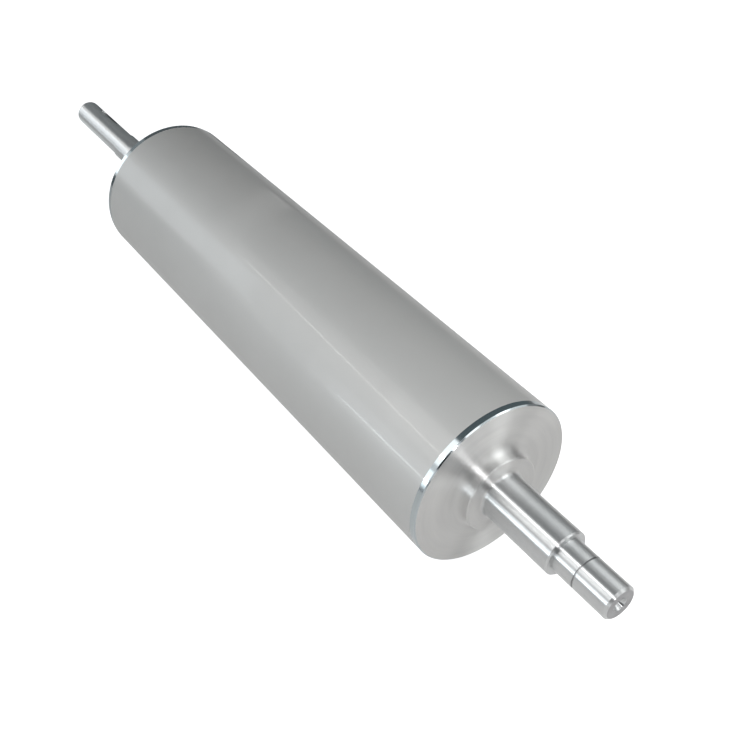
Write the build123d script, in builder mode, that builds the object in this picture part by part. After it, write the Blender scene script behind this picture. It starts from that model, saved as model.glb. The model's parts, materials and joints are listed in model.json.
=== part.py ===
from build123d import *

import os
from math import cos, radians, sin, tan

# Anilox roller: a steel tube with a ceramic coating, closed at each end by a head that is
# turned in one piece with its journal. Everything is round about Y. The origin is on that
# axis, halfway along the face. The short operator's end points to -Y and the keyed drive end
# to +Y. All lengths are in millimetres.

# Roll
face_diameter = 150.0
face_length = 543.0
bare_band = 6.0  # bright steel left uncoated at each end, which is the rim of the head's flange
coating_thickness = 0.4
tube_wall = 12.1  # of steel, under the coating
tube_bore_lead = 1.5

# What both heads have
spigot_length = 32.0
spigot_lead = 2.0
face_edge_chamfer = 1.0
hub_diameter = 68.6
hub_height = 12.0
hub_cove_radius = 7.0
hub_edge_chamfer = 0.8
bearing_diameter = 40.0
bearing_length = 73.0
bearing_root_radius = 3.0
shoulder_chamfer = 1.2

# The steps beyond each bearing seat
operator_seat_diameter = 30.0
operator_seat_length = 55.0
drive_collar_diameter = 30.0
drive_collar_length = 35.0
drive_end_diameter = 28.0
drive_end_length = 105.0
collar_chamfer = 0.5
journal_end_chamfer = 2.0

# Relief turned at the root of each seat, so that a ring seats flat on the shoulder
relief_width = 2.0
relief_depth = 0.4

# Groove for a retaining ring
ring_groove_start = 20.6  # from the shoulder, the width of what the ring holds
ring_groove_width = 1.6
ring_groove_depth = 0.7

# Keyway, cut with an end mill
key_width = 8.0
key_length = 45.0
key_depth = 4.0
key_end_distance = 25.0  # from the shaft's end
key_angle = 52.0  # round the axis, from +X towards +Z

# Centre hole in each journal's end, tapped to take a bolt
thread_core_diameter = 6.8
thread_depth = 22.0
centre_mouth_diameter = 12.8
centre_angle = 60.0
drill_point_angle = 118.0

# Worked out from the sizes above
coated_length = face_length - 2 * bare_band
tube_diameter = face_diameter - 2 * coating_thickness
tube_bore = tube_diameter - 2 * tube_wall
hub_front = face_length / 2 + hub_height
shoulder = hub_front + bearing_length
operator_end = shoulder + operator_seat_length
collar_end = shoulder + drive_collar_length
drive_end = collar_end + drive_end_length
ring_groove = shoulder + ring_groove_start
key_floor = Plane(
    origin=(0, drive_end - key_end_distance - key_length / 2, 0),
    x_dir=(0, 1, 0),
    z_dir=(cos(radians(key_angle)), 0, sin(radians(key_angle))),
).offset(drive_end_diameter / 2 - key_depth)

OPERATOR = -1
DRIVE = 1
ROUNDING = 0.001


def turning_plane(side):
    """The half section's plane: local X is the radius, local Y the distance outwards from mid-face."""
    return Plane(origin=(0, 0, 0), x_dir=(1, 0, 0), z_dir=(0, 0, side))


def round_edge(turned, diameter, distance):
    """The round edge of a turned piece with this diameter, this far from mid-face on either side."""
    return turned.edges().filter_by(
        lambda edge: edge.geom_type == GeomType.CIRCLE
        and abs(edge.radius - diameter / 2) < ROUNDING
        and abs(abs(edge.arc_center.Y) - distance) < ROUNDING
    )


def tapped_centre(side, distance):
    """Drills the centre hole into the journal's end: a core for the thread below a 60 degree cone."""
    core_radius = thread_core_diameter / 2
    point_height = core_radius / tan(radians(drill_point_angle / 2))
    end_face = Plane(origin=(0, side * distance, 0), z_dir=(0, side, 0))
    with Locations(end_face):
        CounterSinkHole(core_radius, centre_mouth_diameter / 2, thread_depth, centre_angle)
    with Locations(end_face.offset(-thread_depth)):
        Cone(
            0,
            core_radius,
            point_height,
            align=(Align.CENTER, Align.CENTER, Align.MAX),
            mode=Mode.SUBTRACT,
        )


def turned_head(side, seats, grooves):
    """One head, turned from a forging: spigot, flange, hub and bearing seat, then the given seats.

    side is OPERATOR or DRIVE, seats lists each further step's (diameter, length) outwards, and
    grooves lists each turned groove's (diameter, start, width, depth).
    """
    flange_back = face_length / 2 - bare_band
    steps = [
        (tube_bore, spigot_length),
        (face_diameter, bare_band),
        (hub_diameter, hub_height),
        (bearing_diameter, bearing_length),
    ]
    with BuildPart() as head:
        with BuildSketch(turning_plane(side)):
            start = flange_back - spigot_length
            for diameter, length in steps + seats:
                with Locations((0, start)):
                    Rectangle(diameter / 2, length, align=(Align.MIN, Align.MIN))
                start += length
            for diameter, groove_start, width, depth in grooves:
                with Locations((diameter / 2, groove_start)):
                    Rectangle(depth, width, align=(Align.MAX, Align.MIN), mode=Mode.SUBTRACT)
        revolve(axis=Axis.Y)
        chamfer(round_edge(head, tube_bore, flange_back - spigot_length), spigot_lead)
        chamfer(round_edge(head, face_diameter, face_length / 2), face_edge_chamfer)
        fillet(round_edge(head, hub_diameter, face_length / 2), hub_cove_radius)
        chamfer(round_edge(head, hub_diameter, hub_front), hub_edge_chamfer)
        fillet(round_edge(head, bearing_diameter, hub_front), bearing_root_radius)
        chamfer(round_edge(head, bearing_diameter, shoulder), shoulder_chamfer)
    return head.part


# The tube, bored right through, with a lead at each mouth for the spigots
with BuildPart() as roll_tube:
    with BuildSketch(Plane.XZ.offset(-coated_length / 2)):
        Circle(tube_diameter / 2)
        Circle(tube_bore / 2, mode=Mode.SUBTRACT)
    extrude(amount=coated_length)
    chamfer(round_edge(roll_tube, tube_bore, coated_length / 2), tube_bore_lead)

# The ceramic, sprayed on the tube and ground flush with the bare bands
with BuildPart() as ceramic_coating:
    with BuildSketch(Plane.XZ.offset(-coated_length / 2)):
        Circle(face_diameter / 2)
        Circle(tube_diameter / 2, mode=Mode.SUBTRACT)
    extrude(amount=coated_length)

# The operator's head: one seat beyond the bearing, with a groove for a retaining ring
with BuildPart() as operator_head:
    add(
        turned_head(
            OPERATOR,
            seats=[(operator_seat_diameter, operator_seat_length)],
            grooves=[
                (operator_seat_diameter, shoulder, relief_width, relief_depth),
                (operator_seat_diameter, ring_groove, ring_groove_width, ring_groove_depth),
            ],
        )
    )
    chamfer(round_edge(operator_head, operator_seat_diameter, operator_end), journal_end_chamfer)
    tapped_centre(OPERATOR, operator_end)

# The drive head: a collar seat, then the keyed end
with BuildPart() as drive_head:
    add(
        turned_head(
            DRIVE,
            seats=[
                (drive_collar_diameter, drive_collar_length),
                (drive_end_diameter, drive_end_length),
            ],
            grooves=[(drive_collar_diameter, shoulder, relief_width, relief_depth)],
        )
    )
    chamfer(round_edge(drive_head, drive_collar_diameter, collar_end), collar_chamfer)
    chamfer(round_edge(drive_head, drive_end_diameter, drive_end), journal_end_chamfer)
    tapped_centre(DRIVE, drive_end)
    with BuildSketch(key_floor):
        SlotOverall(key_length, key_width)
    extrude(amount=2 * key_depth, mode=Mode.SUBTRACT)

roll_tube.part.label = "roll_tube"
ceramic_coating.part.label = "ceramic_coating"
operator_head.part.label = "operator_head"
drive_head.part.label = "drive_head"

os.makedirs("parts", exist_ok=True)
export_step(roll_tube.part, "parts/roll_tube.step")
export_step(ceramic_coating.part, "parts/ceramic_coating.step")
export_step(operator_head.part, "parts/operator_head.step")
export_step(drive_head.part, "parts/drive_head.step")
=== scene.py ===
"""Anilox roller: the looks of a ceramic-coated printing roller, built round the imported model.

The roller lies along Y with the middle of its face at the origin. The operator's head is at -Y
and the keyed drive head at +Y. Every length is in metres.
"""

import json
import logging
import math
from dataclasses import dataclass
from enum import Enum
from typing import Dict, List, Optional, Sequence, Tuple, Union

import bmesh
import bpy
from mathutils import Matrix, Vector

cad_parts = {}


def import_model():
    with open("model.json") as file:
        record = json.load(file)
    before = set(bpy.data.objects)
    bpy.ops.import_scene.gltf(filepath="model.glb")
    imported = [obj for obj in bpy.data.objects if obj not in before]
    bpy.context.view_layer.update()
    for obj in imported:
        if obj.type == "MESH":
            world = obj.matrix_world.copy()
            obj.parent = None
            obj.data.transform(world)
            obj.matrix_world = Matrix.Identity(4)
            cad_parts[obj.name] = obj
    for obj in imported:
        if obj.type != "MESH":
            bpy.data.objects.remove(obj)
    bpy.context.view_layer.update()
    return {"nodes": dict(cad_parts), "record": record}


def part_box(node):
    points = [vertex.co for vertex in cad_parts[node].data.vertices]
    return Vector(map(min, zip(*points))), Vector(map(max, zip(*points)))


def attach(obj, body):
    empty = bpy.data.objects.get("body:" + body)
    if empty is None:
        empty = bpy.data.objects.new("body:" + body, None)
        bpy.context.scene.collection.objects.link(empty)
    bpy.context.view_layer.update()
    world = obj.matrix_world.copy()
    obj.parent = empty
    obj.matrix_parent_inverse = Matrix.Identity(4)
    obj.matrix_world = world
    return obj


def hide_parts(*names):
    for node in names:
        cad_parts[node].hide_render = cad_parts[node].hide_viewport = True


MM = 0.001
BODY = "root"

Colour = Tuple[float, float, float]
Socket = bpy.types.NodeSocket
Value = Union[float, Sequence[float], Socket]

log = logging.getLogger("anilox_roller")


class Side(Enum):
    """The end of the roller that a head closes, as the sign of its Y."""

    OPERATOR = -1
    DRIVE = 1


class Surface(Enum):
    """The material slots of a turned head, in the order in which its mesh holds them."""

    FACED = 0
    GROUND = 1
    RIM = 2
    HOLE = 3
    END = 4


# Node trees


class NodeSheet:
    """A material's or a world's node tree, with short calls to add and link its nodes."""

    def __init__(self, owner: Union[bpy.types.Material, bpy.types.World]) -> None:
        """Empties the owner's tree.

        Args:
            owner: the material or world whose nodes are built.
        """
        owner.use_nodes = True
        self.tree = owner.node_tree
        self.tree.nodes.clear()

    def add(self, kind: str, **settings: object) -> bpy.types.Node:
        """Adds a node.

        Args:
            kind: the node's type, such as ShaderNodeMath.
            settings: the node's own properties, such as its operation.

        Returns:
            The new node.
        """
        node = self.tree.nodes.new(kind)
        for name, value in settings.items():
            setattr(node, name, value)
        return node

    def feed(self, socket: Socket, value: Value) -> None:
        """Links a socket to the input, or sets it where the value is a number or a colour.

        Args:
            socket: the input to feed.
            value: a number, a sequence of numbers, or the output that feeds it.
        """
        if isinstance(value, bpy.types.NodeSocket):
            self.tree.links.new(value, socket)
        else:
            socket.default_value = value

    def math(self, operation: str, first: Value, second: Value = 0.0, third: Value = 0.0) -> Socket:
        """Adds a Math node.

        Args:
            operation: such as MULTIPLY.
            first: the first number or output.
            second: the second, where the operation has one.
            third: the third, where the operation has one.

        Returns:
            The node's output.
        """
        node = self.add("ShaderNodeMath", operation=operation)
        for socket, value in zip(node.inputs, (first, second, third)):
            self.feed(socket, value)
        return node.outputs[0]

    def mix_colour(self, factor: Value, first: Value, second: Value) -> Socket:
        """Adds a colour Mix node.

        Args:
            factor: how much of the second colour there is.
            first: the first colour or output.
            second: the second colour or output.

        Returns:
            The mixed colour.
        """
        node = self.add("ShaderNodeMix", data_type="RGBA")
        self.feed(node.inputs["Factor"], factor)
        for socket, value in zip((node.inputs[6], node.inputs[7]), (first, second)):
            self.feed(socket, (*value, 1.0) if isinstance(value, tuple) else value)
        return node.outputs[2]

    def remap(self, value: Value, low: float, high: float) -> Socket:
        """Stretches a 0 to 1 value over a range.

        Args:
            value: the output that is stretched.
            low: what 0 becomes.
            high: what 1 becomes.

        Returns:
            The stretched value.
        """
        node = self.add("ShaderNodeMapRange")
        self.feed(node.inputs["Value"], value)
        self.feed(node.inputs["To Min"], low)
        self.feed(node.inputs["To Max"], high)
        return node.outputs["Result"]


@dataclass(frozen=True)
class LatheGrain:
    """Marks that run round the roller's axis, on any surface that a lathe or a grinder leaves.

    Attributes:
        pitch: the distance between one mark and the next.
        broken: how soon a mark changes on its way round, from 0 for a perfect ring.
    """

    pitch: float
    broken: float

    def noise(self, sheet: NodeSheet, detail: float = 3.0) -> Socket:
        """Adds noise that is drawn out round the Y axis.

        Args:
            sheet: the material's node sheet.
            detail: the noise's octaves.

        Returns:
            The noise, from 0 to 1.
        """
        place = sheet.add("ShaderNodeSeparateXYZ")
        sheet.feed(place.inputs[0], sheet.add("ShaderNodeTexCoord").outputs["Object"])
        across = sheet.add("ShaderNodeCombineXYZ")
        sheet.feed(across.inputs["X"], place.outputs["X"])
        sheet.feed(across.inputs["Z"], place.outputs["Z"])
        radius = sheet.add("ShaderNodeVectorMath", operation="LENGTH")
        sheet.feed(radius.inputs[0], across.outputs[0])
        heading = sheet.add("ShaderNodeVectorMath", operation="NORMALIZE")
        sheet.feed(heading.inputs[0], across.outputs[0])
        turn = sheet.add("ShaderNodeSeparateXYZ")
        sheet.feed(turn.inputs[0], heading.outputs[0])
        section = sheet.add("ShaderNodeCombineXYZ")
        sheet.feed(section.inputs["X"], sheet.math("DIVIDE", radius.outputs["Value"], self.pitch))
        sheet.feed(section.inputs["Y"], sheet.math("DIVIDE", place.outputs["Y"], self.pitch))
        sheet.feed(section.inputs["Z"], sheet.math("MULTIPLY", turn.outputs["X"], self.broken))
        noise = sheet.add("ShaderNodeTexNoise", noise_dimensions="4D")
        sheet.feed(noise.inputs["Vector"], section.outputs[0])
        sheet.feed(noise.inputs["W"], sheet.math("MULTIPLY", turn.outputs["Z"], self.broken))
        sheet.feed(noise.inputs["Scale"], 1.0)
        sheet.feed(noise.inputs["Detail"], detail)
        return noise.outputs[0]


# Finishes


@dataclass(frozen=True)
class MachinedSteel:
    """Bright steel as a lathe tool or a grinding wheel leaves it.

    Attributes:
        name: the material's name.
        colour: the steel's colour where it is cleanest.
        dull_colour: its colour in the duller rings.
        roughness: the roughness, evened out over the marks.
        rough_spread: how far the roughness swings from ring to ring.
        anisotropy: how far a highlight is drawn out across the marks.
        marks: the fine marks that the tool leaves.
        mark_height: how deep those marks are.
        bands: the broader rings, where the tool was dressed or fed anew.
    """

    name: str
    colour: Colour
    dull_colour: Colour
    roughness: float
    rough_spread: float
    anisotropy: float
    marks: LatheGrain
    mark_height: float
    bands: LatheGrain

    def material(self) -> bpy.types.Material:
        """Builds the material.

        Returns:
            The new material.
        """
        material = bpy.data.materials.new(self.name)
        sheet = NodeSheet(material)
        shader = sheet.add("ShaderNodeBsdfPrincipled")
        output = sheet.add("ShaderNodeOutputMaterial")
        sheet.feed(output.inputs["Surface"], shader.outputs["BSDF"])
        marks = self.marks.noise(sheet)
        bands = self.bands.noise(sheet)
        sheet.feed(shader.inputs["Base Color"], sheet.mix_colour(bands, self.colour, self.dull_colour))
        low = self.roughness - self.rough_spread
        high = self.roughness + self.rough_spread
        both = sheet.math("MULTIPLY_ADD", marks, 0.5, sheet.math("MULTIPLY", bands, 0.5))
        sheet.feed(shader.inputs["Roughness"], sheet.remap(both, low, high))
        sheet.feed(shader.inputs["Metallic"], 1.0)
        sheet.feed(shader.inputs["Anisotropic"], self.anisotropy)
        sheet.feed(shader.inputs["Anisotropic Rotation"], 0.25)
        tangent = sheet.add("ShaderNodeTangent", direction_type="RADIAL", axis="Y")
        sheet.feed(shader.inputs["Tangent"], tangent.outputs[0])
        bump = sheet.add("ShaderNodeBump")
        sheet.feed(bump.inputs["Strength"], 1.0)
        sheet.feed(bump.inputs["Distance"], self.mark_height)
        sheet.feed(bump.inputs["Height"], marks)
        sheet.feed(shader.inputs["Normal"], bump.outputs[0])
        return material


@dataclass(frozen=True)
class EngravedCeramic:
    """Chromium oxide ceramic, sprayed, ground and polished, then engraved with fine cells.

    Attributes:
        name: the material's name.
        colour: the ceramic's colour.
        dark_colour: its colour where the spray is denser.
        roughness: the roughness of the engraved body.
        index: its index of refraction, which is high for this oxide.
        polish: how much of a clear, sharp reflection the polished cell walls give.
        polish_roughness: the roughness of that reflection.
        cell_pitch: the distance from one cell to the next.
        cell_depth: how deep the cells are.
        cloud_size: the size of the patches in which the spray's tone changes.
    """

    name: str = "engraved_ceramic"
    colour: Colour = (0.38, 0.38, 0.375)
    dark_colour: Colour = (0.34, 0.34, 0.335)
    roughness: float = 0.42
    index: float = 1.9
    polish: float = 0.35
    polish_roughness: float = 0.07
    cell_pitch: float = 0.5 * MM
    cell_depth: float = 0.004 * MM
    cloud_size: float = 60.0 * MM

    def material(self) -> bpy.types.Material:
        """Builds the material.

        Returns:
            The new material.
        """
        material = bpy.data.materials.new(self.name)
        sheet = NodeSheet(material)
        shader = sheet.add("ShaderNodeBsdfPrincipled")
        output = sheet.add("ShaderNodeOutputMaterial")
        sheet.feed(output.inputs["Surface"], shader.outputs["BSDF"])
        place = sheet.add("ShaderNodeTexCoord").outputs["Object"]
        clouds = sheet.add("ShaderNodeTexNoise")
        sheet.feed(clouds.inputs["Vector"], place)
        sheet.feed(clouds.inputs["Scale"], 1.0 / self.cloud_size)
        sheet.feed(clouds.inputs["Detail"], 4.0)
        cells = sheet.add("ShaderNodeTexVoronoi", feature="SMOOTH_F1")
        sheet.feed(cells.inputs["Vector"], place)
        sheet.feed(cells.inputs["Scale"], 1.0 / self.cell_pitch)
        tone = sheet.math("MULTIPLY_ADD", cells.outputs["Distance"], 0.35, clouds.outputs[0])
        sheet.feed(shader.inputs["Base Color"], sheet.mix_colour(tone, self.colour, self.dark_colour))
        sheet.feed(shader.inputs["Roughness"], sheet.remap(tone, self.roughness - 0.04, self.roughness + 0.04))
        sheet.feed(shader.inputs["IOR"], self.index)
        sheet.feed(shader.inputs["Coat Weight"], self.polish)
        sheet.feed(shader.inputs["Coat Roughness"], self.polish_roughness)
        bump = sheet.add("ShaderNodeBump")
        sheet.feed(bump.inputs["Strength"], 1.0)
        sheet.feed(bump.inputs["Distance"], self.cell_depth)
        sheet.feed(bump.inputs["Height"], cells.outputs["Distance"])
        sheet.feed(shader.inputs["Normal"], bump.outputs[0])
        return material


FACED_STEEL = MachinedSteel(
    name="faced_steel",
    colour=(0.72, 0.72, 0.71),
    dull_colour=(0.60, 0.60, 0.60),
    roughness=0.42,
    rough_spread=0.05,
    anisotropy=1.0,
    marks=LatheGrain(pitch=0.7 * MM, broken=0.8),
    mark_height=0.05 * MM,
    bands=LatheGrain(pitch=5.0 * MM, broken=1.2),
)
GROUND_STEEL = MachinedSteel(
    name="ground_steel",
    colour=(0.60, 0.61, 0.61),
    dull_colour=(0.53, 0.54, 0.55),
    roughness=0.32,
    rough_spread=0.03,
    anisotropy=1.0,
    marks=LatheGrain(pitch=0.5 * MM, broken=1.5),
    mark_height=0.002 * MM,
    bands=LatheGrain(pitch=4.0 * MM, broken=1.5),
)
RIM_STEEL = MachinedSteel(
    name="rim_steel",
    colour=(0.48, 0.52, 0.54),
    dull_colour=(0.43, 0.48, 0.50),
    roughness=0.12,
    rough_spread=0.02,
    anisotropy=0.2,
    marks=LatheGrain(pitch=0.5 * MM, broken=1.5),
    mark_height=0.001 * MM,
    bands=LatheGrain(pitch=3.0 * MM, broken=1.5),
)
END_STEEL = MachinedSteel(
    name="dull_end_steel",
    colour=(0.40, 0.40, 0.41),
    dull_colour=(0.30, 0.30, 0.31),
    roughness=0.34,
    rough_spread=0.05,
    anisotropy=0.8,
    marks=LatheGrain(pitch=0.6 * MM, broken=1.0),
    mark_height=0.01 * MM,
    bands=LatheGrain(pitch=2.5 * MM, broken=1.5),
)
HOLE_STEEL = MachinedSteel(
    name="tapped_steel",
    colour=(0.36, 0.36, 0.36),
    dull_colour=(0.24, 0.24, 0.25),
    roughness=0.30,
    rough_spread=0.05,
    anisotropy=0.0,
    marks=LatheGrain(pitch=0.4 * MM, broken=2.0),
    mark_height=0.002 * MM,
    bands=LatheGrain(pitch=2.0 * MM, broken=3.0),
)
TUBE_STEEL = MachinedSteel(
    name="blasted_tube_steel",
    colour=(0.42, 0.42, 0.42),
    dull_colour=(0.34, 0.34, 0.34),
    roughness=0.55,
    rough_spread=0.08,
    anisotropy=0.0,
    marks=LatheGrain(pitch=0.3 * MM, broken=60.0),
    mark_height=0.02 * MM,
    bands=LatheGrain(pitch=8.0 * MM, broken=4.0),
)


# Turning


@dataclass(frozen=True)
class Thread:
    """An internal screw thread, right-handed, cut outwards from its core.

    Attributes:
        core: the radius of the drilled core.
        crest: the radius at the thread's root, outside.
        pitch: the thread's pitch.
        start: where the full thread starts, from mid-face.
        end: where it ends, nearer mid-face.
    """

    core: float
    crest: float
    pitch: float
    start: float
    end: float

    def radius(self, side: Side, along: float, angle: float) -> float:
        """The hole's radius at a point of its wall.

        Args:
            side: the head that holds the hole.
            along: the distance from mid-face.
            angle: the angle round the axis.

        Returns:
            The radius there.
        """
        if not self.end < along:
            return self.core
        phase = (-side.value * along / self.pitch - angle / math.tau) % 1.0
        flank = 1.0 - abs(2.0 * phase - 1.0)
        return self.core + (self.crest - self.core) * min(1.0, 1.15 * flank)


@dataclass(frozen=True)
class Corner:
    """A corner of a turned half section, with what the lathe does to it.

    Attributes:
        radius: its distance from the axis.
        along: its distance from mid-face.
        surface: the surface that starts here.
        chamfer: the width of its chamfer.
        fillet: the radius of its fillet.
    """

    radius: float
    along: float
    surface: Surface = Surface.GROUND
    chamfer: float = 0.0
    fillet: float = 0.0


@dataclass(frozen=True)
class Ring:
    """One ring of a turned mesh.

    Attributes:
        radius: its distance from the axis.
        along: its distance from mid-face.
        surface: the surface between this ring and the next.
        thread: the thread that this ring's wall carries.
    """

    radius: float
    along: float
    surface: Surface
    thread: Optional[Thread] = None

    def radius_at(self, side: Side, angle: float) -> float:
        """The ring's radius at an angle round the axis, which only a thread changes."""
        if self.thread is None:
            return self.radius
        return max(self.radius, self.thread.radius(side, self.along, angle))


@dataclass(frozen=True)
class HalfSection:
    """The drawing that a piece is turned from.

    Attributes:
        corners: the corners in order, outwards from the inner end.
        guard: how far from each corner an extra ring keeps the shading true.
        arc_steps: how many pieces a quarter turn of a fillet has.
    """

    corners: Sequence[Corner]
    guard: float = 0.3 * MM
    arc_steps: int = 12

    def rings(self) -> List[Ring]:
        """Works out the rings.

        Returns:
            The rings in order, from the first corner to the last.
        """
        points: List[Tuple[Vector, Surface]] = []
        count = len(self.corners)
        for index, corner in enumerate(self.corners):
            here = Vector((corner.radius, corner.along))
            before = self.corners[index - 1].surface if index else corner.surface
            cut = corner.chamfer or corner.fillet
            if not cut or index in (0, count - 1):
                points.append((here, corner.surface))
                continue
            back = self._heading(index, index - 1)
            ahead = self._heading(index, index + 1)
            if corner.chamfer:
                points.append((here + back * cut, before))
                points.append((here + ahead * cut, corner.surface))
            else:
                points.extend(self._arc(here, back, ahead, cut, before, corner.surface))
        return self._guarded(points)

    def _heading(self, index: int, other: int) -> Vector:
        """The unit vector from one corner towards another."""
        here = self.corners[index]
        there = self.corners[other]
        return Vector((there.radius - here.radius, there.along - here.along)).normalized()

    def _arc(
        self, here: Vector, back: Vector, ahead: Vector, radius: float, before: Surface, after: Surface
    ) -> List[Tuple[Vector, Surface]]:
        """Points along a fillet.

        Args:
            here: the sharp corner.
            back: the direction of the edge that comes in.
            ahead: the direction of the edge that goes out.
            radius: the fillet's radius.
            before: the surface that the edge that comes in has.
            after: the surface that starts at the corner.

        Returns:
            The arc's points, each with the surface that follows it.
        """
        half = 0.5 * back.angle(ahead)
        centre = here + (back + ahead).normalized() * (radius / math.sin(half))
        first = here + back * (radius / math.tan(half)) - centre
        last = here + ahead * (radius / math.tan(half)) - centre
        steps = max(2, round(self.arc_steps * first.angle(last) / (0.5 * math.pi)))
        points = []
        for step in range(steps + 1):
            share = step / steps
            swing = first.slerp(last, share).normalized()
            points.append((centre + swing * radius, before if share < 0.5 else after))
        return points

    def _guarded(self, points: List[Tuple[Vector, Surface]]) -> List[Ring]:
        """Adds a ring close to both ends of each long stretch.

        Args:
            points: the outline's points with their surfaces.

        Returns:
            The finished rings.
        """
        rings = []
        for (here, surface), (there, _) in zip(points, points[1:]):
            rings.append(Ring(here.x, here.y, surface))
            stretch = (there - here).length
            if stretch > 4.0 * self.guard:
                for share in (self.guard / stretch, 1.0 - self.guard / stretch):
                    point = here.lerp(there, share)
                    rings.append(Ring(point.x, point.y, surface))
        end, surface = points[-1]
        rings.append(Ring(end.x, end.y, surface))
        return rings


@dataclass(frozen=True)
class Keyway:
    """A slot with round ends, milled lengthways into a journal to hold a parallel key.

    Attributes:
        angle: its place round the axis, from +X towards +Z, in radians.
        width: the key's width.
        length: its length over both round ends.
        depth: its depth below the top of the journal.
        middle: its middle's distance from mid-face.
        journal: the journal's radius.
        steps: the pieces across its width.
    """

    angle: float
    width: float
    length: float
    depth: float
    middle: float
    journal: float
    steps: int = 16

    def columns(self) -> List[float]:
        """The angles from one side of the slot to the other, closest together at its sides."""
        across = [-math.cos(math.pi * step / self.steps) for step in range(self.steps + 1)]
        return [self.angle + math.asin(0.5 * self.width * share / self.journal) for share in across]

    def reach(self, angle: float) -> float:
        """How far the slot runs from its middle at an angle round the axis."""
        offset = self.journal * math.sin(angle - self.angle)
        radius = 0.5 * self.width
        bow = math.sqrt(max(0.0, radius * radius - offset * offset))
        return 0.5 * self.length - radius + bow

    def floor_radius(self, angle: float) -> Tuple[float, float]:
        """A point of the slot's floor below a column.

        Args:
            angle: the column's angle.

        Returns:
            The floor point's distance from the axis, and its angle.
        """
        offset = self.journal * math.sin(angle - self.angle)
        height = self.journal - self.depth
        return math.hypot(offset, height), self.angle + math.atan2(offset, height)


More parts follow.
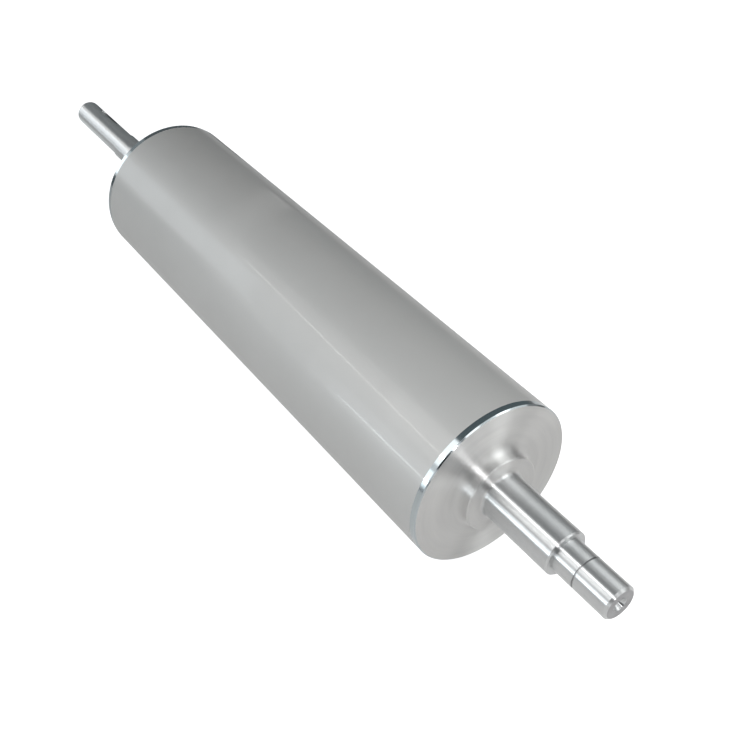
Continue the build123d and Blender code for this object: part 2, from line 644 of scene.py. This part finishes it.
class Lathe:
    """Turns rings into a mesh round the Y axis.

    Attributes:
        side: the head's side.
        columns: the angles at which each ring has a vertex.
    """

    SHARP_ANGLE = math.radians(30.0)

    def __init__(self, side: Side, segments: int, keyway: Optional[Keyway] = None) -> None:
        """Sets out the columns.

        Args:
            side: the side that the piece's outer end points to.
            segments: the vertices of each ring.
            keyway: a slot that the columns make room for.
        """
        self.side = side
        self.keyway = keyway
        self.columns = [math.tau * index / segments for index in range(segments)]
        if keyway is not None:
            slot = keyway.columns()
            clear = [angle for angle in self.columns if not slot[0] - 0.01 < angle < slot[-1] + 0.01]
            self.columns = sorted(clear + slot)

    def point(self, radius: float, angle: float, along: float) -> Vector:
        """A place in the roller's frame from its radius, angle and distance from mid-face."""
        return Vector((radius * math.cos(angle), self.side.value * along, radius * math.sin(angle)))

    def turn(self, name: str, rings: Sequence[Ring], closed: bool = False) -> bpy.types.Object:
        """Revolves the rings.

        Args:
            name: the new object's name.
            rings: the rings in order.
            closed: whether the last ring joins the first.

        Returns:
            The new object, without materials.
        """
        mesh = bmesh.new()
        loops = [self._ring_vertices(mesh, ring) for ring in rings]
        pairs = list(zip(range(len(rings)), range(1, len(rings))))
        if closed:
            pairs.append((len(rings) - 1, 0))
        for lower, upper in pairs:
            self._wall(mesh, rings[lower], rings[upper], loops[lower], loops[upper])
        bmesh.ops.recalc_face_normals(mesh, faces=mesh.faces)
        data = bpy.data.meshes.new(name)
        mesh.to_mesh(data)
        mesh.free()
        data.shade_smooth()
        data.set_sharp_from_angle(angle=self.SHARP_ANGLE)
        piece = bpy.data.objects.new(name, data)
        bpy.context.scene.collection.objects.link(piece)
        return piece

    def _ring_vertices(self, mesh: bmesh.types.BMesh, ring: Ring) -> List[bmesh.types.BMVert]:
        """The vertices of one ring, or the single one where it lies on the axis."""
        if ring.radius == 0.0:
            return [mesh.verts.new(self.point(0.0, 0.0, ring.along))]
        return [
            mesh.verts.new(self.point(ring.radius_at(self.side, angle), angle, ring.along))
            for angle in self.columns
        ]

    def _wall(
        self,
        mesh: bmesh.types.BMesh,
        lower_ring: Ring,
        upper_ring: Ring,
        lower: List[bmesh.types.BMVert],
        upper: List[bmesh.types.BMVert],
    ) -> None:
        """Builds the faces between two rings.

        Args:
            mesh: the mesh that is built.
            lower_ring: the ring nearer the first corner.
            upper_ring: the next ring.
            lower: the first ring's vertices.
            upper: the next ring's vertices.
        """
        count = len(self.columns)
        slotted = self._holds_keyway(lower_ring, upper_ring)
        slot = set(self.keyway.columns()) if slotted else set()
        for index in range(count):
            after = (index + 1) % count
            if slotted and self.columns[index] in slot and self.columns[after] in slot:
                continue
            corners = [lower[index % len(lower)], lower[after % len(lower)]]
            corners += [upper[after % len(upper)], upper[index % len(upper)]]
            face = mesh.faces.new(list(dict.fromkeys(corners)))
            face.material_index = lower_ring.surface.value
        if slotted:
            self._mill(mesh, lower_ring, lower, upper)

    def _holds_keyway(self, lower: Ring, upper: Ring) -> bool:
        """Whether the keyway lies between two rings."""
        if self.keyway is None or lower.radius != upper.radius:
            return False
        half = 0.5 * self.keyway.length
        return lower.along < self.keyway.middle - half and self.keyway.middle + half < upper.along

    def _mill(
        self,
        mesh: bmesh.types.BMesh,
        ring: Ring,
        lower: List[bmesh.types.BMVert],
        upper: List[bmesh.types.BMVert],
    ) -> None:
        """Builds the journal's wall round the keyway, and the keyway's own walls and floor.

        Args:
            mesh: the mesh that is built.
            ring: the ring below the keyway.
            lower: that ring's vertices.
            upper: the vertices of the ring above.
        """
        keyway = self.keyway
        angles = keyway.columns()
        places = [self.columns.index(angle) for angle in angles]
        tops: List[List[bmesh.types.BMVert]] = []
        floors: List[List[bmesh.types.BMVert]] = []
        for direction in (-1.0, 1.0):
            top_row = []
            floor_row = []
            for angle in angles:
                along = keyway.middle + direction * keyway.reach(angle)
                floor_radius, floor_angle = keyway.floor_radius(angle)
                top_row.append(mesh.verts.new(self.point(keyway.journal, angle, along)))
                floor_row.append(mesh.verts.new(self.point(floor_radius, floor_angle, along)))
            tops.append(top_row)
            floors.append(floor_row)
        faces = []
        for step in range(keyway.steps):
            here, there = places[step], places[step + 1]
            near, far = step, step + 1
            faces.append((lower[here], lower[there], tops[0][far], tops[0][near]))
            faces.append((tops[1][near], tops[1][far], upper[there], upper[here]))
            faces.append((floors[0][near], floors[0][far], floors[1][far], floors[1][near]))
            for row in (0, 1):
                faces.append((tops[row][near], tops[row][far], floors[row][far], floors[row][near]))
        for edge in (0, -1):
            faces.append((tops[0][edge], tops[1][edge], floors[1][edge], floors[0][edge]))
        for corners in faces:
            face = mesh.faces.new(corners)
            face.material_index = ring.surface.value
        for edge in (0, -1):
            self._split_side(mesh, lower[places[edge]], upper[places[edge]], tops[0][edge], tops[1][edge])

    def _split_side(
        self,
        mesh: bmesh.types.BMesh,
        low: bmesh.types.BMVert,
        high: bmesh.types.BMVert,
        start: bmesh.types.BMVert,
        end: bmesh.types.BMVert,
    ) -> None:
        """Adds the slot's two side corners to the neighbouring face, so that no edge is left open.

        Args:
            mesh: the mesh that is built.
            low: the ring vertex below the slot's side.
            high: the ring vertex above it.
            start: the slot side's lower corner.
            end: its upper corner.
        """
        edge = mesh.edges.get((low, high))
        face = edge.link_faces[0]
        surface = face.material_index
        corners = list(face.verts)
        position = corners.index(low)
        if corners[(position + 1) % len(corners)] is high:
            corners[position + 1:position + 1] = [start, end]
        else:
            position = corners.index(high)
            corners[position + 1:position + 1] = [end, start]
        mesh.faces.remove(face)
        mesh.edges.remove(edge)
        mesh.faces.new(corners).material_index = surface


# The roller's pieces


@dataclass
class Head:
    """One head with its journal, turned in one piece.

    Attributes:
        node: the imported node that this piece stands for.
        side: the end that it closes.
        seats: each step beyond the bearing seat, as its radius and the distance at which it ends.
        end_chamfers: the chamfer at the end of each of those steps.
        ring_groove: where the retaining ring's groove starts beyond the shoulder, if it has one.
        keyway_angle: the keyway's place round the axis in radians, if it has one.
    """

    node: str
    side: Side
    seats: Sequence[Tuple[float, float]]
    end_chamfers: Sequence[float]
    ring_groove: Optional[float] = None
    keyway_angle: Optional[float] = None

    bare_band: float = 6.0 * MM
    bore_radius: float = 62.5 * MM
    spigot_length: float = 32.0 * MM
    spigot_lead: float = 2.0 * MM
    rim_chamfer: float = 1.0 * MM
    hub_radius: float = 34.3 * MM
    hub_height: float = 12.0 * MM
    hub_cove: float = 7.0 * MM
    hub_chamfer: float = 0.8 * MM
    bearing_radius: float = 20.0 * MM
    bearing_length: float = 73.0 * MM
    root_fillet: float = 3.0 * MM
    shoulder_chamfer: float = 1.2 * MM
    relief_width: float = 2.0 * MM
    relief_depth: float = 0.4 * MM
    groove_width: float = 1.6 * MM
    groove_depth: float = 0.7 * MM
    edge_break: float = 0.15 * MM
    centre_mouth: float = 6.4 * MM
    centre_half_angle: float = math.radians(30.0)
    thread_core: float = 3.4 * MM
    thread_crest: float = 4.0 * MM
    thread_pitch: float = 1.25 * MM
    thread_length: float = 18.5 * MM
    hole_depth: float = 22.0 * MM
    drill_half_angle: float = math.radians(59.0)
    rows_per_pitch: int = 8
    key_width: float = 8.0 * MM
    key_length: float = 45.0 * MM
    key_depth: float = 4.0 * MM
    key_end_distance: float = 25.0 * MM
    segments: int = 192

    def flange(self) -> Tuple[float, float]:
        """The flange's radius, and the distance from mid-face to its outer face."""
        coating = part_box("ceramic_coating")[1]
        return coating.z, coating.y + self.bare_band

    def outline(self) -> HalfSection:
        """Draws the half section from the spigot to the journal's end.

        Returns:
            The half section, without the centre hole.
        """
        face_radius, face = self.flange()
        back = face - self.bare_band
        hub_front = face + self.hub_height
        shoulder = hub_front + self.bearing_length
        corners = [
            Corner(0.0, back - self.spigot_length, Surface.FACED),
            Corner(self.bore_radius, back - self.spigot_length, Surface.GROUND, chamfer=self.spigot_lead),
            Corner(self.bore_radius, back, Surface.FACED),
            Corner(face_radius, back, Surface.RIM),
            Corner(face_radius, face, Surface.FACED, chamfer=self.rim_chamfer),
            Corner(self.hub_radius, face, Surface.FACED, fillet=self.hub_cove),
            Corner(self.hub_radius, hub_front, Surface.FACED, chamfer=self.hub_chamfer),
            Corner(self.bearing_radius, hub_front, Surface.GROUND, fillet=self.root_fillet),
            Corner(self.bearing_radius, shoulder, Surface.GROUND, chamfer=self.shoulder_chamfer),
        ]
        start = shoulder
        for (radius, end), chamfer in zip(self.seats, self.end_chamfers):
            if start == shoulder:
                corners += self._groove(radius, start, self.relief_width, self.relief_depth, open_start=True)
            else:
                corners.append(Corner(radius, start))
            if start == shoulder and self.ring_groove is not None:
                place = shoulder + self.ring_groove
                corners += self._groove(radius, place, self.groove_width, self.groove_depth)
            corners.append(Corner(radius, end, Surface.END, chamfer=chamfer))
            start = end
        corners.append(Corner(self.centre_mouth, start, Surface.GROUND, chamfer=self.edge_break))
        corners.append(Corner(self.thread_crest, start - self.cone_depth(self.thread_crest), Surface.HOLE))
        return HalfSection(corners)

    def _groove(
        self, radius: float, start: float, width: float, depth: float, open_start: bool = False
    ) -> List[Corner]:
        """The corners of a turned groove.

        Args:
            radius: the seat's radius.
            start: where the groove starts.
            width: the groove's width.
            depth: its depth.
            open_start: whether the groove starts in the corner below a shoulder.

        Returns:
            The groove's corners, in order.
        """
        corners = [] if open_start else [Corner(radius, start, chamfer=0.5 * self.edge_break)]
        corners.append(Corner(radius - depth, start, Surface.GROUND if open_start else Surface.HOLE))
        corners.append(Corner(radius - depth, start + width))
        corners.append(Corner(radius, start + width, chamfer=0.5 * self.edge_break))
        return corners

    def cone_depth(self, radius: float) -> float:
        """How deep the centre's cone is where it has this radius."""
        return (self.centre_mouth - radius) / math.tan(self.centre_half_angle)

    def hole(self) -> List[Ring]:
        """The rings of the tapped hole below the centre's cone.

        Returns:
            The rings from the thread's first turn to the drill point.
        """
        end = self.seats[-1][1]
        thread = Thread(
            core=self.thread_core,
            crest=self.thread_crest,
            pitch=self.thread_pitch,
            start=end - self.cone_depth(self.thread_crest),
            end=end - self.thread_length,
        )
        bottom = end - self.hole_depth
        rows = math.ceil((thread.start - thread.end) / self.thread_pitch * self.rows_per_pitch)
        rings = []
        for row in range(1, rows + 1):
            along = thread.start + (thread.end - thread.start) * row / rows
            cone = self.centre_mouth - (end - along) * math.tan(self.centre_half_angle)
            rings.append(Ring(max(self.thread_core, cone), along, Surface.HOLE, thread))
        rings.append(Ring(self.thread_core, bottom, Surface.HOLE))
        point = self.thread_core / math.tan(self.drill_half_angle)
        rings.append(Ring(0.0, bottom - point, Surface.HOLE))
        return rings

    def keyway(self) -> Optional[Keyway]:
        """The keyway in the last seat, or None on a head without one."""
        if self.keyway_angle is None:
            return None
        radius, end = self.seats[-1]
        middle = end - self.key_end_distance - 0.5 * self.key_length
        return Keyway(self.keyway_angle, self.key_width, self.key_length, self.key_depth, middle, radius)

    def build(self, finishes: Sequence[bpy.types.Material]) -> bpy.types.Object:
        """Turns the head and dresses it.

        Args:
            finishes: the materials, in the order of Surface.

        Returns:
            The head's object.
        """
        lathe = Lathe(self.side, self.segments, self.keyway())
        piece = lathe.turn(f"{self.node}_turned", self.outline().rings() + self.hole())
        for material in finishes:
            piece.data.materials.append(material)
        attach(piece, BODY)
        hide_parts(self.node)
        return piece


@dataclass
class CoatedRoll:
    """The roll between the heads: a steel tube with its ceramic sleeve.

    Attributes:
        edge_break: the small chamfer ground on the ceramic's edges.
        segments: the vertices of each ring.
    """

    edge_break: float = 0.12 * MM
    segments: int = 256

    def sleeve(self, ceramic: bpy.types.Material) -> bpy.types.Object:
        """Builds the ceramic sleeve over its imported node.

        Args:
            ceramic: the sleeve's material.

        Returns:
            The sleeve's object.
        """
        low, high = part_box("ceramic_coating")
        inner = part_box("roll_tube")[1].z
        surface = Surface.FACED
        corners = [
            Corner(inner, low.y, surface),
            Corner(high.z, low.y, surface, chamfer=self.edge_break),
            Corner(high.z, high.y, surface, chamfer=self.edge_break),
            Corner(inner, high.y, surface),
        ]
        rings = HalfSection(corners).rings()
        piece = Lathe(Side.DRIVE, self.segments).turn("engraved_sleeve", rings, closed=True)
        piece.data.materials.append(ceramic)
        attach(piece, BODY)
        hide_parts("ceramic_coating")
        return piece

    def tube(self, node: bpy.types.Object, steel: bpy.types.Material) -> bpy.types.Object:
        """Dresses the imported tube, whose shape is right as it is.

        Args:
            node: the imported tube.
            steel: its material.

        Returns:
            The tube's object.
        """
        for slot in node.material_slots:
            slot.material = steel
        return node


# The studio


@dataclass(frozen=True)
class Softbox:
    """A soft lamp that faces the roller's axis.

    Attributes:
        name: the lamp's name.
        start: the middle of one end.
        end: the middle of the other end.
        breadth: its size across.
        glow: how bright its face looks, where 1 is white.
        colour: the colour of its light.
        rounded: whether it is a round box in place of a rectangular one.
        mirrored: whether its face shows in the metal.
    """

    name: str
    start: Colour
    end: Colour
    breadth: float
    glow: float
    colour: Colour
    rounded: bool = False
    mirrored: bool = True

    def hang(self) -> bpy.types.Object:
        """Adds the lamp to the scene.

        Returns:
            The lamp's object.
        """
        along = Vector(self.end) - Vector(self.start)
        middle = (Vector(self.start) + Vector(self.end)) * 0.5
        across = Vector((middle.x, 0.0, middle.z)).cross(along).normalized()
        away = along.normalized().cross(across)
        lamp = bpy.data.lights.new(self.name, "AREA")
        lamp.shape = "ELLIPSE" if self.rounded else "RECTANGLE"
        lamp.size = along.length
        lamp.size_y = self.breadth
        lamp.color = self.colour
        area = along.length * self.breadth * (0.25 * math.pi if self.rounded else 1.0)
        lamp.energy = self.glow * math.pi * area
        hung = bpy.data.objects.new(self.name, lamp)
        turn = Matrix((along.normalized(), across, away)).transposed()
        hung.matrix_world = Matrix.Translation(middle) @ turn.to_4x4()
        hung.visible_camera = False
        hung.visible_glossy = self.mirrored
        bpy.context.scene.collection.objects.link(hung)
        return hung


@dataclass(frozen=True)
class GreyCard:
    """A curved grey card that only reflections see, as a studio hangs round bright metal.

    Attributes:
        name: the card's name.
        radius: its distance from the roller's axis.
        arc: the angles round the axis at which it starts and ends, in degrees.
        span: the Y at which it starts and ends.
        tone: the grey that it shows.
        steps: the pieces along its arc.
    """

    name: str
    radius: float
    arc: Tuple[float, float]
    span: Tuple[float, float]
    tone: Colour
    steps: int = 24

    def hang(self) -> bpy.types.Object:
        """Adds the card to the scene.

        Returns:
            The card's object.
        """
        mesh = bmesh.new()
        rows = []
        for step in range(self.steps + 1):
            angle = math.radians(self.arc[0] + (self.arc[1] - self.arc[0]) * step / self.steps)
            place = (self.radius * math.cos(angle), self.radius * math.sin(angle))
            rows.append([mesh.verts.new((place[0], along, place[1])) for along in self.span])
        for lower, upper in zip(rows, rows[1:]):
            mesh.faces.new((lower[0], lower[1], upper[1], upper[0]))
        data = bpy.data.meshes.new(self.name)
        mesh.to_mesh(data)
        mesh.free()
        card = bpy.data.objects.new(self.name, data)
        bpy.context.scene.collection.objects.link(card)
        material = bpy.data.materials.new(self.name)
        sheet = NodeSheet(material)
        glow = sheet.add("ShaderNodeEmission")
        sheet.feed(glow.inputs["Color"], (*self.tone, 1.0))
        output = sheet.add("ShaderNodeOutputMaterial")
        sheet.feed(output.inputs["Surface"], glow.outputs[0])
        data.materials.append(material)
        card.visible_camera = False
        card.visible_diffuse = False
        card.visible_shadow = False
        return card


SOFTBOXES = (
    Softbox("key_rim", (0.55, -1.45, 0.71), (0.55, -0.08, 0.71), 1.40, 0.80, (0.98, 1.0, 0.99), rounded=True),
    Softbox("key_core", (0.54, -1.05, 0.70), (0.54, -0.45, 0.70), 0.60, 2.7, (0.98, 1.0, 0.99), rounded=True),
    Softbox("top_fill", (-0.45, -1.20, 0.95), (-0.45, -0.10, 0.95), 0.90, 1.9, (1.0, 1.0, 1.0), mirrored=False),
    Softbox("brow_box", (0.08, -2.30, 1.15), (0.08, -1.20, 1.15), 0.50, 2.0, (1.0, 1.0, 1.0)),
    Softbox("edge_strip", (-0.64, -1.30, 1.13), (-0.64, 0.10, 1.13), 0.09, 6.5, (1.0, 1.0, 1.0)),
    Softbox("front_strip", (-0.30, -2.20, 0.52), (-0.46, -1.40, 0.80), 0.06, 20.0, (1.0, 1.0, 1.0)),
    Softbox("left_box", (-1.02, -0.30, 1.16), (-1.02, 0.90, 1.16), 1.0, 1.10, (1.0, 1.0, 0.98)),
    Softbox("window_box", (-1.53, -1.00, 0.27), (-1.53, 1.10, 0.27), 0.64, 1.3, (0.88, 0.96, 1.0)),
    Softbox("window_strip", (-1.49, -0.60, 0.18), (-1.49, 1.00, 0.18), 0.04, 12.0, (0.90, 0.97, 1.0)),
    Softbox("ceiling_strip", (-1.17, 0.30, 0.93), (-0.90, 1.60, 1.22), 0.025, 11.0, (1.0, 1.0, 0.97)),
    Softbox("far_box", (-1.29, 1.50, 0.76), (-1.29, 3.20, 0.76), 0.89, 1.5, (0.84, 0.94, 1.0)),
)
CARDS = (
    GreyCard("near_card", 1.45, (-3.0, 108.0), (-3.2, 0.2), (0.33, 0.33, 0.33)),
    GreyCard("high_card", 1.40, (60.0, 86.0), (-0.9, 0.2), (0.46, 0.46, 0.46)),
    GreyCard("middle_card", 1.35, (-4.0, 112.0), (0.2, 1.5), (0.14, 0.17, 0.18)),
    GreyCard("far_card", 1.25, (-4.0, 122.0), (1.5, 3.6), (0.14, 0.155, 0.16)),
    GreyCard("far_shade", 1.22, (94.0, 124.0), (1.5, 3.6), (0.34, 0.37, 0.38)),
    GreyCard("front_card", 0.95, (126.0, 160.0), (-12.0, -0.5), (0.05, 0.055, 0.06)),
    GreyCard("low_front_card", 0.09, (186.0, 232.0), (-3.0, -0.65), (0.10, 0.11, 0.12)),
    GreyCard("right_edge", 0.80, (-5.0, 3.0), (-1.0, 1.5), (0.20, 0.20, 0.20)),
    GreyCard("left_edge", 0.75, (182.5, 185.5), (-0.8, 0.6), (0.30, 0.31, 0.33)),
    GreyCard("low_far_card", 0.60, (169.0, 187.0), (0.7, 1.25), (0.14, 0.16, 0.17)),
    GreyCard("journal_card", 0.12, (-50.0, 8.0), (0.30, 1.2), (0.12, 0.135, 0.14)),
    GreyCard("journal_bounce", 0.07, (206.0, 268.0), (0.46, 1.0), (0.95, 1.0, 1.0)),
)


@dataclass
class Studio:
    """The pale floor, the soft light and the camera.

    Attributes:
        floor_size: the floor's width and length.
        floor_colour: the floor's own colour.
        floor_tint: the colour that is left in the shadow.
        floor_glow: what the floor adds to what the camera sees of it.
        mirrored_glow: the painted shade and painted light that it adds to reflections, on the shaded side and
            on the lit side at +X.
        lit_width: how far from the axis the lit side starts.
        fill: the strength of the light that comes from all round.
        azimuth: the camera's place round the roller, in degrees from straight along +Y.
        elevation: its height, in degrees.
        distance: from the aim to the camera.
        aim: the point on which the view is centred.
        focal_length: the lens, in millimetres.
        sensor: the picture's width, in millimetres.
    """

    floor_size: float = 60.0
    floor_colour: Colour = (0.56, 0.55, 0.54)
    floor_tint: Colour = (0.97, 0.98, 1.0)
    floor_glow: float = 0.88
    mirrored_glow: Tuple[float, float] = (0.18, 0.32)
    lit_width: float = 0.25
    fill: float = 0.14
    azimuth: float = -35.238
    elevation: float = 40.712
    distance: float = 0.92243
    aim: Colour = (0.0, -0.11403, 0.00282)
    focal_length: float = 50.80
    sensor: float = 36.0

    def floor(self) -> bpy.types.Object:
        """Lays the floor below the roller.

        Returns:
            The floor's object.
        """
        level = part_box("ceramic_coating")[0].z
        mesh = bmesh.new()
        bmesh.ops.create_grid(mesh, x_segments=1, y_segments=1, size=0.5 * self.floor_size)
        data = bpy.data.meshes.new("studio_floor")
        mesh.to_mesh(data)
        mesh.free()
        floor = bpy.data.objects.new("studio_floor", data)
        floor.location.z = level
        bpy.context.scene.collection.objects.link(floor)
        material = bpy.data.materials.new("pale_floor")
        sheet = NodeSheet(material)
        matt = sheet.add("ShaderNodeBsdfDiffuse")
        sheet.feed(matt.inputs["Color"], (*self.floor_colour, 1.0))
        glow = sheet.add("ShaderNodeEmission")
        sheet.feed(glow.inputs["Color"], (*self.floor_tint, 1.0))
        path = sheet.add("ShaderNodeLightPath")
        mirrored = sheet.math("MAXIMUM", path.outputs["Is Glossy Ray"], path.outputs["Is Transmission Ray"])
        place = sheet.add("ShaderNodeSeparateXYZ")
        sheet.feed(place.inputs[0], sheet.add("ShaderNodeTexCoord").outputs["Object"])
        # Painted light and shade: the glow that reflections see on the floor is painted brighter towards +X and
        # dimmer towards -X, where the roller's shade falls.
        lit = sheet.math("MULTIPLY_ADD", place.outputs["X"], 0.5 / self.lit_width, 0.5)
        mirrored = sheet.math("MULTIPLY", mirrored, sheet.remap(lit, *self.mirrored_glow))
        seen = sheet.math("MULTIPLY", path.outputs["Is Camera Ray"], self.floor_glow)
        sheet.feed(glow.inputs["Strength"], sheet.math("MAXIMUM", seen, mirrored))
        both = sheet.add("ShaderNodeAddShader")
        sheet.feed(both.inputs[0], matt.outputs[0])
        sheet.feed(both.inputs[1], glow.outputs[0])
        output = sheet.add("ShaderNodeOutputMaterial")
        sheet.feed(output.inputs["Surface"], both.outputs[0])
        data.materials.append(material)
        return floor

    def seen(self, sheet: NodeSheet) -> Socket:
        """1 for what the camera sees, straight or in a reflection, and 0 for light that falls.

        Args:
            sheet: the node sheet of the floor or the world.

        Returns:
            The factor's output.
        """
        path = sheet.add("ShaderNodeLightPath")
        straight = sheet.math("MAXIMUM", path.outputs["Is Camera Ray"], path.outputs["Is Glossy Ray"])
        return sheet.math("MAXIMUM", straight, path.outputs["Is Transmission Ray"])

    def surroundings(self) -> bpy.types.World:
        """Makes the even light round the roller, which looks white where it is seen.

        Returns:
            The scene's world.
        """
        world = bpy.data.worlds.new("studio")
        sheet = NodeSheet(world)
        light = sheet.add("ShaderNodeBackground")
        sheet.feed(light.inputs["Strength"], sheet.math("MAXIMUM", self.seen(sheet), self.fill))
        output = sheet.add("ShaderNodeOutputWorld")
        sheet.feed(output.inputs["Surface"], light.outputs[0])
        sheet.feed(light.inputs["Color"], (1.0, 1.0, 1.0, 1.0))
        bpy.context.scene.world = world
        return world

    def lights(self) -> List[bpy.types.Object]:
        """Hangs the softboxes and the grey cards, and returns their objects."""
        return [thing.hang() for thing in (*SOFTBOXES, *CARDS)]

    def camera(self) -> bpy.types.Object:
        """Sets up the camera.

        Returns:
            The camera's object.
        """
        azimuth = math.radians(self.azimuth)
        elevation = math.radians(self.elevation)
        level = math.cos(elevation)
        back = Vector((math.sin(azimuth) * level, -math.cos(azimuth) * level, math.sin(elevation)))
        data = bpy.data.cameras.new("camera")
        data.lens = self.focal_length
        data.sensor_width = self.sensor
        camera = bpy.data.objects.new("camera", data)
        camera.location = Vector(self.aim) + back * self.distance
        camera.rotation_euler = back.to_track_quat("Z", "Y").to_euler()
        bpy.context.scene.collection.objects.link(camera)
        bpy.context.scene.camera = camera
        bpy.context.scene.view_settings.view_transform = "Standard"
        return camera


def mount(record: Dict, name: str) -> Tuple[float, float, float]:
    """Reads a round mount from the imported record.

    Args:
        record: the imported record.
        name: the mount's name.

    Returns:
        Its radius, and the distances from mid-face at which it starts and ends.
    """
    found = next(entry for entry in record["mounts"] if entry["name"] == name)
    middle = abs(found["pos_m"][1])
    half = 0.5 * found["dims"]["length_mm"] * MM
    return found["dims"]["r_mm"] * MM, middle - half, middle + half


def report(piece: bpy.types.Object) -> None:
    """Logs a piece's name and how many faces it has."""
    log.info("%s: %d faces", piece.name, len(piece.data.polygons))


def corners(box: Sequence[Vector]) -> List[List[float]]:
    """A box's two corners as plain lists."""
    return [list(corner) for corner in box]


def main() -> None:
    """Builds the roller, dresses it and sets up the studio."""
    logging.basicConfig(level=logging.INFO, format="%(message)s")
    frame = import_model()
    record = frame["record"]

    steels = [finish.material() for finish in (FACED_STEEL, GROUND_STEEL, RIM_STEEL, HOLE_STEEL, END_STEEL)]
    operator_radius = mount(record, "operator_end_seat")[0]
    collar_radius, _, collar_end = mount(record, "drive_collar_seat")
    keyed_radius = mount(record, "drive_end")[0]
    operator_end = -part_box("operator_head")[0].y
    drive_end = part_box("drive_head")[1].y
    collar_chamfer = 0.5 * MM
    end_chamfer = 2.0 * MM
    operator_head = Head(
        node="operator_head",
        side=Side.OPERATOR,
        seats=[(operator_radius, operator_end)],
        end_chamfers=[end_chamfer],
        ring_groove=20.6 * MM,
    )
    drive_head = Head(
        node="drive_head",
        side=Side.DRIVE,
        seats=[(collar_radius, collar_end + collar_chamfer), (keyed_radius, drive_end)],
        end_chamfers=[collar_chamfer, end_chamfer],
        keyway_angle=math.radians(52.0),
    )
    roll = CoatedRoll()
    report(roll.tube(frame["nodes"]["roll_tube"], TUBE_STEEL.material()))
    report(roll.sleeve(EngravedCeramic().material()))
    for head in (operator_head, drive_head):
        report(head.build(steels))

    studio = Studio()
    studio.floor()
    studio.surroundings()
    studio.lights()
    studio.camera()


if __name__ == "__main__":
    main()
